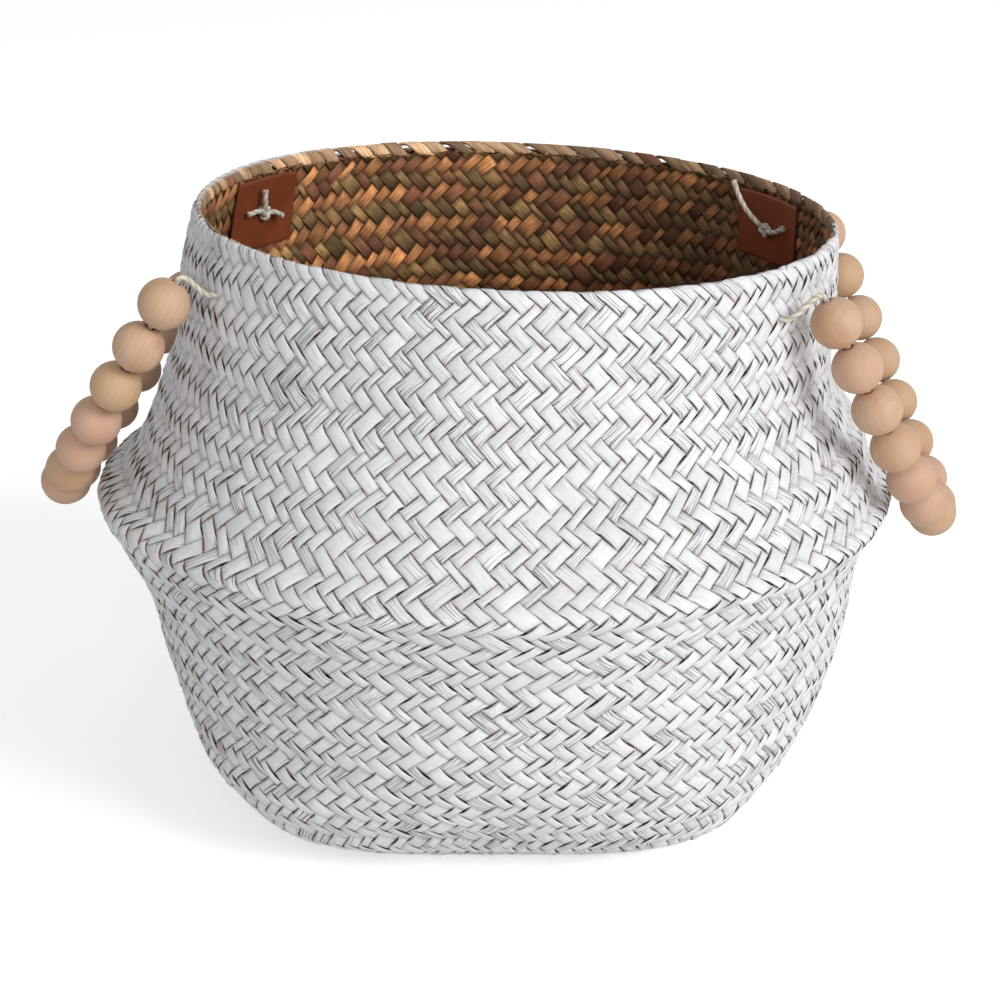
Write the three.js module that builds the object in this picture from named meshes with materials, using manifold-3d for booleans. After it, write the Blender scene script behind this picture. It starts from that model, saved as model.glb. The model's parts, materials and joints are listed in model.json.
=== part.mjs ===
// Belly basket: a woven sedge basket with a round-square base, a wide belly fold, an upright neck
// and two handles of wooden beads strung on cotton cord.
// Millimetres, +Z up. The origin is the middle of the base, on the surface that it stands on.
// -Y is the front, +X is the right-hand side.

import * as THREE from 'three';
import * as BufferGeometryUtils from 'three/addons/utils/BufferGeometryUtils.js';
import Module from 'manifold-3d';

const wasm = await Module();
wasm.setup();

// Driving dimensions of the woven body
const basketHeight = 313;
const bellyHeight = 174;
const flareHeight = 58;
const bellyRadius = 207;
const rimRadius = 166;
const baseRadius = 103;
const wallThickness = 3.6;
const rimWidth = 6.4;
const rimDepth = 6.5;
const neckLeanX = 5;
const neckLeanY = 11.7;
const rimTiltRise = 6.4;
const baseSquareness = 4.7;
const squareFadeHeight = 78;

// Driving dimensions of the handles
const beadDiameter = 25;
const beadBoreDiameter = 4.6;
const beadSpacingGap = 0.35;
const beadsPerHandle = 15;
const cordDiameter = 3;

// Driving dimensions of the leather patches, the cord holes and the knots
const holeDepthBelowRim = 26;
const patchWidth = 54;
const patchHeight = 38;
const patchThickness = 1.8;
const patchCornerCut = 2;
const knotRadius = 4.2;
const tailLength = 12;

// Clearances: between pieces that lie on each other, and round a cord in its hole
const seatGap = 0.3;
const wallSeatGap = 0.55;
const holeClearance = 0.35;

// Numbers of facets
const roundSides = 48;
const cordSides = 8;
const beadSides = 14;
const beadArcSteps = 6;
const knotSides = 10;
const patchColumns = 6;
const patchRows = 3;
const rimSides = 8;
const leadSteps = 7;
const loopSamples = 900;
const gapSamples = 400;

// The outline below the belly fold: height as a share of the belly height, then the left and the
// right radius as shares of the way from the base radius to the belly radius.
const bowlShares = [
  [0, 0, 0],
  [0.034, 0.098, 0.092],
  [0.092, 0.253, 0.243],
  [0.172, 0.388, 0.37],
  [0.287, 0.566, 0.538],
  [0.46, 0.716, 0.728],
  [0.644, 0.784, 0.804],
  [0.77, 0.847, 0.827],
  [0.862, 0.922, 0.862],
  [0.931, 0.972, 0.92],
  [0.986, 1.025, 0.979],
  [1, 1.034, 0.967],
];

// The outline above it: height as a share of the way from the belly to the rim, then the left and
// the right radius as shares of the way from the rim radius to the belly radius.
const neckShares = [
  [0, 1.085, 0.917],
  [0.014, 1.08, 0.863],
  [0.043, 0.956, 0.78],
  [0.086, 0.768, 0.695],
  [0.144, 0.615, 0.627],
  [0.216, 0.49, 0.544],
  [0.302, 0.368, 0.29],
  [0.417, 0.246, 0.107],
  [0.547, 0.088, 0.066],
  [0.727, 0.051, 0.056],
  [1, -0.122, 0.049],
];

// Where the cord of each handle comes through the wall, as azimuths in degrees from +X, and where
// its loop hangs: the azimuth, stand-off from the wall and drop below the rim of its two upper
// ends, how near its beads come to the wall, and how far its lowest point is dragged sideways.
// The two tails of each knot are shares of the tail length along the wall, up and inward.
const handleSpecs = [
  {
    side: 'left',
    colour: 0xddb894,
    front: {
      holeAzimuth: -147.2,
      hangAzimuth: -147.1,
      standOff: 22.2,
      drop: 17,
      tailShares: [[0.8, 0.5, 0.3], [-0.9, 0.2, 0.2]],
    },
    rear: {
      holeAzimuth: 147.9,
      hangAzimuth: 148.5,
      standOff: 19.2,
      drop: 40.9,
      tailShares: [[0.3, 1.1, 0.3], [-0.8, -0.2, 0.3]],
    },
    wallGap: 4.3,
    drag: 12.2,
  },
  {
    side: 'right',
    colour: 0xe2bf99,
    front: {
      holeAzimuth: -40.3,
      hangAzimuth: -35.2,
      standOff: 15,
      drop: 16.5,
      tailShares: [[0.9, 0.3, 0.3], [-0.8, 0.4, 0.2]],
    },
    rear: {
      holeAzimuth: 27.6,
      hangAzimuth: 23.8,
      standOff: 14.8,
      drop: 15.6,
      tailShares: [[0.6, 1.6, 0.5], [-0.8, -0.1, 0.3]],
    },
    wallGap: 5.56,
    drag: -3,
  },
];

// Heights where the woven body is parted: its four zones are one fabric on the real basket.
const flareTop = bellyHeight + flareHeight;
const rimBottom = basketHeight - rimDepth;
const halfGap = seatGap / 2;

// Materials
const paintedWeave = new THREE.MeshStandardMaterial({ color: 0xd8d7d8, roughness: 0.85 });
const paintedRim = new THREE.MeshStandardMaterial({ color: 0xc9c4bd, roughness: 0.85 });
const tanLeather = new THREE.MeshStandardMaterial({ color: 0x7a3f26, roughness: 0.55 });
const cottonCord = new THREE.MeshStandardMaterial({ color: 0xe6dfd0, roughness: 0.9 });

const basket = new THREE.Group();

// Adds one named mesh to the basket.
function addPiece(name, geometry, material) {
  const mesh = new THREE.Mesh(geometry, material);
  mesh.name = name;
  basket.add(mesh);
  return mesh;
}

// Value of a table of [share, left, right] at a share, read in straight lines between its rows.
function readTable(table, share, column) {
  const last = table.length - 1;
  let row = 0;
  while (row < last - 1 && share > table[row + 1][0]) {
    row += 1;
  }
  const [low, high] = [table[row], table[row + 1]];
  const t = THREE.MathUtils.clamp((share - low[0]) / (high[0] - low[0]), 0, 1);
  return THREE.MathUtils.lerp(low[column], high[column], t);
}

// Outer radius of the weave at a height, on the left (column 1) or on the right (column 2).
function sideRadius(height, column) {
  if (height <= bellyHeight) {
    const share = readTable(bowlShares, height / bellyHeight, column);
    return THREE.MathUtils.lerp(baseRadius, bellyRadius, share);
  }
  const rise = (height - bellyHeight) / (basketHeight - bellyHeight);
  const share = readTable(neckShares, rise, column);
  return THREE.MathUtils.lerp(rimRadius, bellyRadius, share);
}

// Outer radius at a height and an azimuth in radians: the left and right outlines are blended round
// the basket, and near the base the circle becomes a rounded square.
function outerRadius(height, azimuth) {
  const rightward = (1 + Math.cos(azimuth)) / 2;
  const radius = THREE.MathUtils.lerp(sideRadius(height, 1), sideRadius(height, 2), rightward);
  const fade = Math.max(0, 1 - height / squareFadeHeight) ** 1.3;
  const power = 2 + (baseSquareness - 2) * fade;
  const round = Math.abs(Math.cos(azimuth)) ** power + Math.abs(Math.sin(azimuth)) ** power;
  return radius * round ** (-1 / power);
}

// Inner radius: the wall keeps its thickness square to its own slope.
function innerRadius(height, azimuth) {
  const step = wallThickness;
  const low = Math.max(0, height - step);
  const high = Math.min(basketHeight, height + step);
  const slope = (outerRadius(high, azimuth) - outerRadius(low, azimuth)) / (high - low);
  return outerRadius(height, azimuth) - wallThickness * Math.hypot(1, slope);
}

// Places a radius, height and azimuth in space: above the belly the neck leans, and above the
// flare its rim tilts.
function place(radius, height, azimuth) {
  const share = (low) => THREE.MathUtils.clamp((height - low) / (basketHeight - low), 0, 1);
  const lean = share(bellyHeight);
  return new THREE.Vector3(
    radius * Math.cos(azimuth) + neckLeanX * lean,
    radius * Math.sin(azimuth) + neckLeanY * lean,
    height - rimTiltRise * share(flareTop) * Math.cos(azimuth),
  );
}

// A closed mesh from rings of points: neighbouring rings are joined, and so are the last and first.
function ringedSolid(rings) {
  const around = rings[0].length;
  const positions = rings.flat().flatMap((point) => [point.x, point.y, point.z]);
  const index = [];
  rings.forEach((ring, k) => {
    const next = (k + 1) % rings.length;
    for (let i = 0; i < around; i += 1) {
      const j = (i + 1) % around;
      const [a, b] = [k * around + i, k * around + j];
      const [c, d] = [next * around + j, next * around + i];
      index.push(a, b, c, a, c, d);
    }
  });
  return meshOf(positions, index);
}

// A closed mesh from rings along a path, capped at both ends.
function cappedSolid(rings) {
  const around = rings[0].length;
  const positions = rings.flat().flatMap((point) => [point.x, point.y, point.z]);
  const index = [];
  for (let k = 0; k < rings.length - 1; k += 1) {
    for (let i = 0; i < around; i += 1) {
      const j = (i + 1) % around;
      const [a, b] = [k * around + i, k * around + j];
      const [c, d] = [a + around, b + around];
      index.push(a, b, d, a, d, c);
    }
  }
  const last = (rings.length - 1) * around;
  for (let i = 1; i < around - 1; i += 1) {
    index.push(0, i + 1, i);
    index.push(last, last + i, last + i + 1);
  }
  return meshOf(positions, index);
}

function meshOf(positions, index) {
  const geometry = new THREE.BufferGeometry();
  geometry.setAttribute('position', new THREE.Float32BufferAttribute(positions, 3));
  geometry.setIndex(index);
  return geometry;
}

// A ring of points round the basket at one height.
function ringAt(height, radiusAt, shift = 0) {
  return Array.from({ length: roundSides }, (_, i) => {
    const azimuth = (i / roundSides) * 2 * Math.PI;
    return place(radiusAt(height, azimuth) + shift, height, azimuth);
  });
}

// Heights of the outline's rows between two heights, with the two themselves.
function rowHeights(low, high) {
  const bowlRows = bowlShares.map((row) => row[0] * bellyHeight);
  const neckRows = neckShares.map((row) => bellyHeight + row[0] * (basketHeight - bellyHeight));
  const inside = [...bowlRows, ...neckRows].filter((h) => h > low + seatGap && h < high - seatGap);
  return [low, ...new Set(inside), high];
}

// One zone of the woven wall between two heights.
function wallZone(low, high) {
  const heights = rowHeights(low, high);
  const outside = heights.map((height) => ringAt(height, outerRadius));
  const inside = heights.map((height) => ringAt(height, innerRadius)).reverse();
  return ringedSolid([...outside, ...inside]);
}

// manifold-3d solids from three.js geometry and back
function toManifold(geometry) {
  const bare = geometry.clone();
  bare.deleteAttribute('normal');
  bare.deleteAttribute('uv');
  const merged = BufferGeometryUtils.mergeVertices(bare);
  return new wasm.Manifold(new wasm.Mesh({
    numProp: 3,
    vertProperties: new Float32Array(merged.attributes.position.array),
    triVerts: new Uint32Array(merged.index.array),
  }));
}

function fromManifold(solid) {
  const { vertProperties, triVerts } = solid.getMesh();
  return meshOf(Array.from(vertProperties), Array.from(triVerts));
}

// A path of straight stretches from point to point. It is measured in whole stretches, so that a
// tube along it has a ring, mitred, at each point.
class StretchPath extends THREE.Curve {
  constructor(points) {
    super();
    this.points = points;
  }

  getPoint(t, target = new THREE.Vector3()) {
    const place = t * (this.points.length - 1);
    const from = THREE.MathUtils.clamp(Math.floor(place), 0, this.points.length - 2);
    return target.lerpVectors(this.points[from], this.points[from + 1], place - from);
  }

  getPointAt(t, target) {
    return this.getPoint(t, target);
  }

  getTangentAt(t, target) {
    return this.getTangent(t, target);
  }
}

// A round tube through a list of points.
function tubeAlong(points, diameter) {
  const section = new THREE.Shape().absarc(0, 0, diameter / 2, 0, 2 * Math.PI, false);
  return new THREE.ExtrudeGeometry(section, {
    curveSegments: cordSides / 2,
    steps: points.length - 1,
    extrudePath: new StretchPath(points),
  });
}

// Woven base: a rounded-square plate, flat underneath.
function makeBase() {
  const rings = [ringAt(0, outerRadius), ringAt(wallThickness, outerRadius)];
  rings.forEach((ring, k) => ring.forEach((point) => {
    point.z = k * wallThickness;
  }));
  return cappedSolid(rings);
}

// Rim: the strips turned over and rolled into one thick edge, an ellipse in section.
function makeRim(low) {
  const middle = (low + basketHeight) / 2;
  const halfDepth = (basketHeight - low) / 2;
  const rings = Array.from({ length: rimSides }, (_, k) => {
    const turn = ((k + 0.5) / rimSides) * 2 * Math.PI;
    const reach = 1 / Math.cos(Math.PI / rimSides);
    const height = middle + halfDepth * reach * Math.sin(turn);
    const shift = (rimWidth / 2) * reach * Math.cos(turn) - wallThickness / 2;
    return Array.from({ length: roundSides }, (_, i) => {
      const azimuth = (i / roundSides) * 2 * Math.PI;
      return place(outerRadius(basketHeight, azimuth) + shift, height, azimuth);
    });
  });
  return ringedSolid(rings);
}

// A point on the cord hole's axis: a distance out from the wall's outer face.
function holePoint(end, outward) {
  const azimuth = THREE.MathUtils.degToRad(end.holeAzimuth);
  const height = basketHeight - holeDepthBelowRim;
  return place(outerRadius(height, azimuth) + outward, height, azimuth);
}

// Leather patch: a curved rectangle with cut corners that lies on the inside of the wall.
function makePatch(end) {
  const azimuth = THREE.MathUtils.degToRad(end.holeAzimuth);
  const middle = basketHeight - holeDepthBelowRim;
  const radius = innerRadius(middle, azimuth);
  const halfTurn = patchWidth / 2 / radius;
  const cornerTurn = patchCornerCut / radius;
  const face = (depth) => {
    const points = [];
    for (let row = 0; row <= patchRows; row += 1) {
      const edge = row === 0 || row === patchRows;
      const reach = halfTurn - (edge ? cornerTurn : 0);
      for (let column = 0; column <= patchColumns; column += 1) {
        const turn = azimuth + reach * ((2 * column) / patchColumns - 1);
        const height = middle + patchHeight * (row / patchRows - 0.5);
        points.push(place(innerRadius(height, turn) - wallSeatGap - depth, height, turn));
      }
    }
    return points;
  };
  const [outside, inside] = [face(0), face(patchThickness)];
  const size = outside.length;
  const positions = [...outside, ...inside].flatMap((point) => [point.x, point.y, point.z]);
  const columns = patchColumns + 1;
  const index = [];
  for (let row = 0; row < patchRows; row += 1) {
    for (let column = 0; column < patchColumns; column += 1) {
      const a = row * columns + column;
      const [b, c, d] = [a + 1, a + columns + 1, a + columns];
      index.push(a, b, c, a, c, d);
      index.push(size + a, size + c, size + b, size + a, size + d, size + c);
    }
  }
  const border = [];
  for (let column = 0; column < patchColumns; column += 1) border.push(column);
  for (let row = 0; row < patchRows; row += 1) border.push(row * columns + patchColumns);
  for (let column = patchColumns; column > 0; column -= 1) border.push(patchRows * columns + column);
  for (let row = patchRows; row > 0; row -= 1) border.push(row * columns);
  border.forEach((a, k) => {
    const b = border[(k + 1) % border.length];
    index.push(b, a, size + a, b, size + a, size + b);
  });
  return meshOf(positions, index);
}

// The drill for one cord hole, through the wall and the patch.
function makeDrill(end) {
  const reach = wallThickness + patchThickness + knotRadius;
  const points = [holePoint(end, reach), holePoint(end, -2 * reach)];
  return tubeAlong(points, cordDiameter + 2 * holeClearance);
}

// Upper end of a handle's loop, where the cord goes into its first or last bead.
function hangPoint(end) {
  const azimuth = THREE.MathUtils.degToRad(end.hangAzimuth);
  const height = basketHeight - end.drop;
  return place(outerRadius(height, azimuth) + end.standOff, height, azimuth);
}

// How near the beads between these points come to the wall, each measured in the upright plane
// through its own middle. It is below zero for a bead that the wall would cut.
function nearestGap(vertices) {
  const gaps = vertices.slice(1).map((vertex, k) => {
    const centre = vertex.clone().add(vertices[k]).multiplyScalar(0.5);
    const azimuth = Math.atan2(centre.y, centre.x);
    const reach = (height) => place(outerRadius(height, azimuth), height, azimuth);
    const level = THREE.MathUtils.clamp(centre.z, 0, basketHeight);
    const inside = Math.hypot(centre.x, centre.y) < Math.hypot(reach(level).x, reach(level).y);
    const distances = Array.from({ length: gapSamples + 1 }, (_, row) => (
      reach((row / gapSamples) * basketHeight).distanceTo(centre)
    ));
    return (inside ? -1 : 1) * Math.min(...distances);
  });
  return Math.min(...gaps) - beadDiameter / 2;
}

// The loop of one handle. It hangs in a plane through its two upper ends that leans out from
// straight down, so far that its beads clear the belly, as half an ellipse whose lowest point is
// dragged sideways. The beads fill it from end to end, so its drop follows from their number.
// Returns the points between the beads.
function makeLoop(spec) {
  const [front, rear] = [hangPoint(spec.front), hangPoint(spec.rear)];
  const along = rear.clone().sub(front);
  const halfSpan = along.length() / 2;
  along.normalize();
  const down = new THREE.Vector3(0, 0, -1).addScaledVector(along, along.z).normalize();
  const outward = along.clone().cross(down);
  const middle = front.clone().add(rear).multiplyScalar(0.5);
  if (outward.dot(new THREE.Vector3(middle.x, middle.y, 0)) < 0) {
    outward.negate();
  }

  const curve = (drop, t) => new THREE.Vector2(
    -halfSpan * Math.cos(t) + spec.drag * Math.sin(t) ** 2,
    drop * Math.sin(t),
  );
  // Places the beads' ends along the curve: where it bends, a bead takes a little more of it.
  const fill = (drop) => {
    const samples = Array.from({ length: loopSamples + 1 }, (_, k) => (
      curve(drop, (k / loopSamples) * Math.PI)
    ));
    const marks = [samples[0]];
    const pitch = beadDiameter + beadSpacingGap;
    let travelled = 0;
    let need = pitch;
    for (let k = 1; k <= loopSamples; k += 1) {
      const step = samples[k].distanceTo(samples[k - 1]);
      const before = samples[Math.max(k - 2, 0)];
      const turn = samples[k].clone().sub(samples[k - 1]).angleTo(
        samples[k - 1].clone().sub(before),
      );
      const bend = k > 1 ? turn / step : 0;
      need = pitch / Math.cos(Math.min(1, (bend * pitch) / 2));
      travelled += step / need;
      if (travelled >= marks.length && marks.length <= beadsPerHandle) {
        const back = (travelled - marks.length) * (need / step);
        marks.push(samples[k].clone().lerp(samples[k - 1], back));
      }
    }
    return { filled: travelled, marks };
  };
  let [shallow, deep] = [halfSpan / 4, beadsPerHandle * beadDiameter];
  for (let k = 0; k < 50; k += 1) {
    const drop = (shallow + deep) / 2;
    if (fill(drop).filled < beadsPerHandle) {
      shallow = drop;
    } else {
      deep = drop;
    }
  }
  const marks = fill(deep).marks.slice(0, beadsPerHandle + 1);
  const leaned = (lean) => {
    const hang = down.clone().multiplyScalar(Math.cos(lean));
    hang.addScaledVector(outward, Math.sin(lean));
    return marks.map((mark) => middle.clone()
      .addScaledVector(along, mark.x)
      .addScaledVector(hang, mark.y));
  };
  let [steep, flat] = [0, Math.PI / 2];
  for (let k = 0; k < 40; k += 1) {
    const lean = (steep + flat) / 2;
    if (nearestGap(leaned(lean)) < spec.wallGap) {
      steep = lean;
    } else {
      flat = lean;
    }
  }
  return leaned(flat);
}

// A wooden bead: a ball with a straight bore, made about its own Y axis.
const beadGeometry = (() => {
  const [radius, bore] = [beadDiameter / 2, beadBoreDiameter / 2];
  const mouth = Math.asin(bore / radius);
  const profile = Array.from({ length: beadArcSteps + 1 }, (_, k) => {
    const angle = mouth + (k / beadArcSteps) * (Math.PI - 2 * mouth);
    return new THREE.Vector2(radius * Math.sin(angle), -radius * Math.cos(angle));
  });
  profile.push(profile[0].clone());
  return new THREE.LatheGeometry(profile, beadSides);
})();

// The end of a handle's cord: a knot with two tails inside the basket, the stretch through patch
// and wall, and the bare stretch outside that bends over into the bead at the loop's upper end.
function makeCordEnd(end, mouth, intoBead) {
  const inward = wallThickness + wallSeatGap + patchThickness + seatGap + knotRadius;
  const knot = holePoint(end, -inward);
  const azimuth = THREE.MathUtils.degToRad(end.holeAzimuth);
  const out = new THREE.Vector3(Math.cos(azimuth), Math.sin(azimuth), 0);
  const sideways = new THREE.Vector3(-Math.sin(azimuth), Math.cos(azimuth), 0);
  const stop = mouth.clone().addScaledVector(intoBead, -seatGap / 2);
  const bend = stop.clone().addScaledVector(intoBead, -2 * cordDiameter);
  const exit = holePoint(end, 2 * cordDiameter);
  const route = new THREE.CatmullRomCurve3([holePoint(end, 0), exit, bend, stop]);
  const lead = [knot, holePoint(end, -wallThickness), ...route.getPoints(leadSteps)];
  const ball = new THREE.SphereGeometry(knotRadius, knotSides, knotSides / 2);
  ball.translate(knot.x, knot.y, knot.z);
  const tails = end.tailShares.map(([along, up, inside]) => {
    const tip = knot.clone()
      .addScaledVector(sideways, along * tailLength)
      .addScaledVector(out, -inside * tailLength);
    tip.z += up * tailLength;
    return toManifold(tubeAlong([knot, tip], cordDiameter));
  });
  const solid = toManifold(ball).add(toManifold(tubeAlong(lead, cordDiameter)));
  return fromManifold(tails.reduce((sum, tail) => sum.add(tail), solid));
}

// The woven body: four zones of one fabric, parted where collision and the fold need it
const ends = handleSpecs.flatMap((spec) => [
  { ...spec.front, name: `${spec.side}_front` },
  { ...spec.rear, name: `${spec.side}_rear` },
]);
const drills = ends.map((end) => toManifold(makeDrill(end)));
const neckSolid = drills.reduce(
  (wall, drill) => wall.subtract(drill),
  toManifold(wallZone(flareTop + halfGap, rimBottom - halfGap)),
);

addPiece('woven_base', makeBase(), paintedWeave);
addPiece('lower_wall', wallZone(wallThickness + seatGap, bellyHeight - halfGap), paintedWeave);
addPiece('belly_flare', wallZone(bellyHeight + halfGap, flareTop - halfGap), paintedWeave);
addPiece('neck_wall', fromManifold(neckSolid), paintedWeave);
addPiece('rim_edge', makeRim(rimBottom + halfGap), paintedRim);

ends.forEach((end, k) => {
  const patch = toManifold(makePatch(end)).subtract(drills[k]);
  addPiece(`${end.name}_leather_patch`, fromManifold(patch), tanLeather);
});

// The handles
handleSpecs.forEach((spec) => {
  const wood = new THREE.MeshStandardMaterial({ color: spec.colour, roughness: 0.5 });
  const vertices = makeLoop(spec);
  const last = vertices.length - 1;
  const towards = (from, to) => vertices[to].clone().sub(vertices[from]).normalize();
  const frontEnd = makeCordEnd(spec.front, vertices[0], towards(0, 1));
  const rearEnd = makeCordEnd(spec.rear, vertices[last], towards(last, last - 1));
  addPiece(`${spec.side}_front_cord_end`, frontEnd, cottonCord);
  addPiece(`${spec.side}_rear_cord_end`, rearEnd, cottonCord);

  const strung = vertices.map((vertex) => vertex.clone());
  strung[0].addScaledVector(towards(0, 1), halfGap);
  strung[last].addScaledVector(towards(last, last - 1), halfGap);
  addPiece(`${spec.side}_handle_cord`, tubeAlong(strung, cordDiameter), cottonCord);

  for (let k = 0; k < beadsPerHandle; k += 1) {
    const number = String(k + 1).padStart(2, '0');
    const bead = addPiece(`${spec.side}_bead_${number}`, beadGeometry, wood);
    bead.position.copy(vertices[k]).add(vertices[k + 1]).multiplyScalar(0.5);
    bead.quaternion.setFromUnitVectors(new THREE.Vector3(0, 1, 0), towards(k, k + 1));
  }
});

export default basket;
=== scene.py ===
"""A belly basket of woven, whitewashed sedge with two handles of wooden beads on cotton cord."""

import json
import math

import bpy
import numpy as np
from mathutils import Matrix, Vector


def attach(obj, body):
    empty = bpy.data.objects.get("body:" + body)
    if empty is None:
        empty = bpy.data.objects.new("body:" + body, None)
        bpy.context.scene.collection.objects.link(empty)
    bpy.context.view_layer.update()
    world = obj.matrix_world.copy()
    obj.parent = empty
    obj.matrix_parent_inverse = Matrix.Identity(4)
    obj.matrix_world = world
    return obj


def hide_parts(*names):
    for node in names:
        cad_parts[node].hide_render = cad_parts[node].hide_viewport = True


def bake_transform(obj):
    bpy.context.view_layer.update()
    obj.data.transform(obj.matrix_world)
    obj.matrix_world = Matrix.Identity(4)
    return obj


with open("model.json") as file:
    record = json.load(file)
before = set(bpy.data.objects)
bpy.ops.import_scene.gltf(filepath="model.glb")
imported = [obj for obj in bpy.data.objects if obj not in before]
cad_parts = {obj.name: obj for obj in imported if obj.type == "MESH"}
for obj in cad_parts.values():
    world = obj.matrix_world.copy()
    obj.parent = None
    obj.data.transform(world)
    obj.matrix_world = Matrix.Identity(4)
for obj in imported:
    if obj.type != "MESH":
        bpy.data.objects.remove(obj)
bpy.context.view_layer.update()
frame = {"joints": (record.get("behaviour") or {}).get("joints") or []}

bl_info = {
    "name": "Belly basket",
    "version": (1, 0, 0),
    "blender": (4, 5, 0),
    "location": "View3D > Sidebar > Basket",
    "description": "Builds a woven belly basket with beaded handles around its packed model",
    "category": "Object",
}

MM = 0.001

# The outline of the woven body, in millimetres and in shares, as the solids have it
BASKET_HEIGHT = 313.0
BELLY_HEIGHT = 174.0
FLARE_TOP = 232.0
BELLY_RADIUS = 207.0
RIM_RADIUS = 166.0
BASE_RADIUS = 103.0
WALL_THICKNESS = 3.6
NECK_LEAN = (5.0, 11.7)
RIM_TILT_RISE = 6.4
BASE_SQUARENESS = 4.7
SQUARE_FADE_HEIGHT = 78.0
SQUARE_FADE_POWER = 1.3
PROBE_RISE = 0.6
PROBE_TURN = 0.004

# Below the belly's edge: height, left radius and right radius as shares of belly and base
BOWL_SHARES = np.array([
    [0, 0, 0],
    [0.034, 0.098, 0.092],
    [0.092, 0.253, 0.243],
    [0.172, 0.388, 0.37],
    [0.287, 0.566, 0.538],
    [0.46, 0.716, 0.728],
    [0.644, 0.784, 0.804],
    [0.77, 0.847, 0.827],
    [0.862, 0.922, 0.862],
    [0.931, 0.972, 0.92],
    [0.986, 1.025, 0.979],
    [1, 1.034, 0.967],
])

# Above it: height, left radius and right radius as shares of rim and belly
NECK_SHARES = np.array([
    [0, 1.085, 0.917],
    [0.014, 1.08, 0.863],
    [0.043, 0.956, 0.78],
    [0.086, 0.768, 0.695],
    [0.144, 0.615, 0.627],
    [0.216, 0.49, 0.544],
    [0.302, 0.368, 0.29],
    [0.417, 0.246, 0.107],
    [0.547, 0.088, 0.066],
    [0.727, 0.051, 0.056],
    [1, -0.122, 0.049],
])

# The rim: the strips turn over it on a small arc, and wraps bind their ends inside it. The wraps
# crowd at one side, and on the far side they rise over the strips' ends, which sink there. Depths
# are measured inward from the wall's outer face.
CREST_DROP = 3.6
CREST_HEIGHT = BASKET_HEIGHT - CREST_DROP
CREST_RADIUS = 3.0
CREST_TURN = 2.0
WRAPS = 82
WRAP_CROWDING = 0.2
WRAP_CROWDING_TURN = 0.17
FAR_WRAP_RISE = 2.4
FAR_WRAP_REACH = 1.7
FAR_WRAP_TURN = 0.5
FAR_TIP_SINK = 1.8
WRAP_MIDDLE_DEPTH = 3.1
WRAP_MIDDLE_DROP = 5.6
WRAP_HALF_DEPTH = 1.7
WRAP_HALF_HEIGHT = 3.3

# Cord holes, patches and knots. Each end has the azimuth of its hole in degrees, and its tails, in
# millimetres round the wall, up and inward.
HOLE_HEIGHT = BASKET_HEIGHT - 26.0
WALL_SEAT_GAP = 0.5
PATCH_WIDTH = 54.0
PATCH_HEIGHT = 38.0
PATCH_THICKNESS = 1.8
PATCH_CORNER = 2.2
CORD_ENDS = {
    "left_front": (-147.2, ((7, 14, 4), (-12, 3, 2))),
    "left_rear": (147.9, ((3, 13.5, 3.5), (16, 1.6, 1), (-12.5, -4, 2))),
    "right_front": (-40.3, ((10, 12, 4), (-11, 4, 2))),
    "right_rear": (27.6, ((21, 24.5, 8), (-19, 5, 1.5))),
}
KNOT_REACH = 3.3
KNOT_DEPTH = 1.35
ROPE_LAY = 15.0
ROPE_GROOVE = 0.14
ROPE_SPACING = 1.6
BEADS = 15
BEAD_HALF_GAP = 0.15

# The weave: an over-two, under-two twill on the slant, with as many strips that climb to the right
# as to the left. A step is the rise from one crossing to the next, counted to the rim's. In one step
# a right-climbing strip crosses the lean share of the strips' spacing round the wall, and a
# left-climbing one the rest. A family's floats come up ahead of the crossings by its lag, in steps.
STRIPS = 118
TOP_STEP = 75.5
STEP_HEIGHTS = (0, 25, 50, 85, 150, 174, 200, 232, 260, 313)
STEP_RISES = (7.2, 6.2, 5.1, 4.2, 4.2, 4.4, 4.6, 4.4, 4.55, 4.1)
LEAN_SHARES = (0.49, 0.5, 0.5, 0.52, 0.545, 0.54, 0.505, 0.525, 0.545, 0.44)
LAGS = {"right": 0.5, "left": -1.5}
WAVE_POWER = 0.52

# One float of a strip: where it is sampled, in steps from where it comes up, and its half widths
# there, in spacings, outside and inside. Then where it turns over the rim: places as shares of the
# turn from its end, half widths, and how far each place is levelled to the rim.
FLOAT_PLACES = (0.0, 0.2, 0.62, 1.0, 1.38, 1.8)
FLOAT_HALF_WIDTHS = (0.68, 0.55, 0.495, 0.49, 0.495, 0.55)
INNER_HALF_WIDTHS = (0.68, 0.57, 0.55, 0.545, 0.55, 0.57)
TIP_PLACE_SHARES = (0.66, 0.33, 0.0)
TIP_HALF_WIDTHS = (0.53, 0.56, 0.57)
TIP_LEVEL_SHARES = (0.45, 0.75, 1.0)

# Unevenness of the courses, in steps, and of the face, in millimetres: reach, waves round the wall,
# millimetres up it to a radian, and start
COURSE_WAVES = ((0.35, 3, np.inf, 0.6), (0.25, 7, np.inf, 2.0))
DENTS = ((0.5, 5, 19, 0.0), (0.45, 9, -27, 1.0))
CALM_STEPS = 6

# Runs are numbered from nought, and a strip fills this much of its number
RUN_OFFSET = 40
RUN_LIMIT = 200
UV_HALF_WIDTH = 0.46

# Spacing of the base's strips, in millimetres, and how steep their wave is
BASE_SPACING = 7.6
BASE_WAVE_POWER = 0.5

# A strip's section: places across in half widths, places through it in thicknesses, and how much
# paint each takes
STRIP_SECTION = np.array([
    [-1, 0.05, 0.5],
    [-0.74, 0.5, 1],
    [0.74, 0.5, 1],
    [1, 0.05, 0.5],
    [0.74, -0.5, 0],
    [-0.74, -0.5, 0],
])

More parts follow.
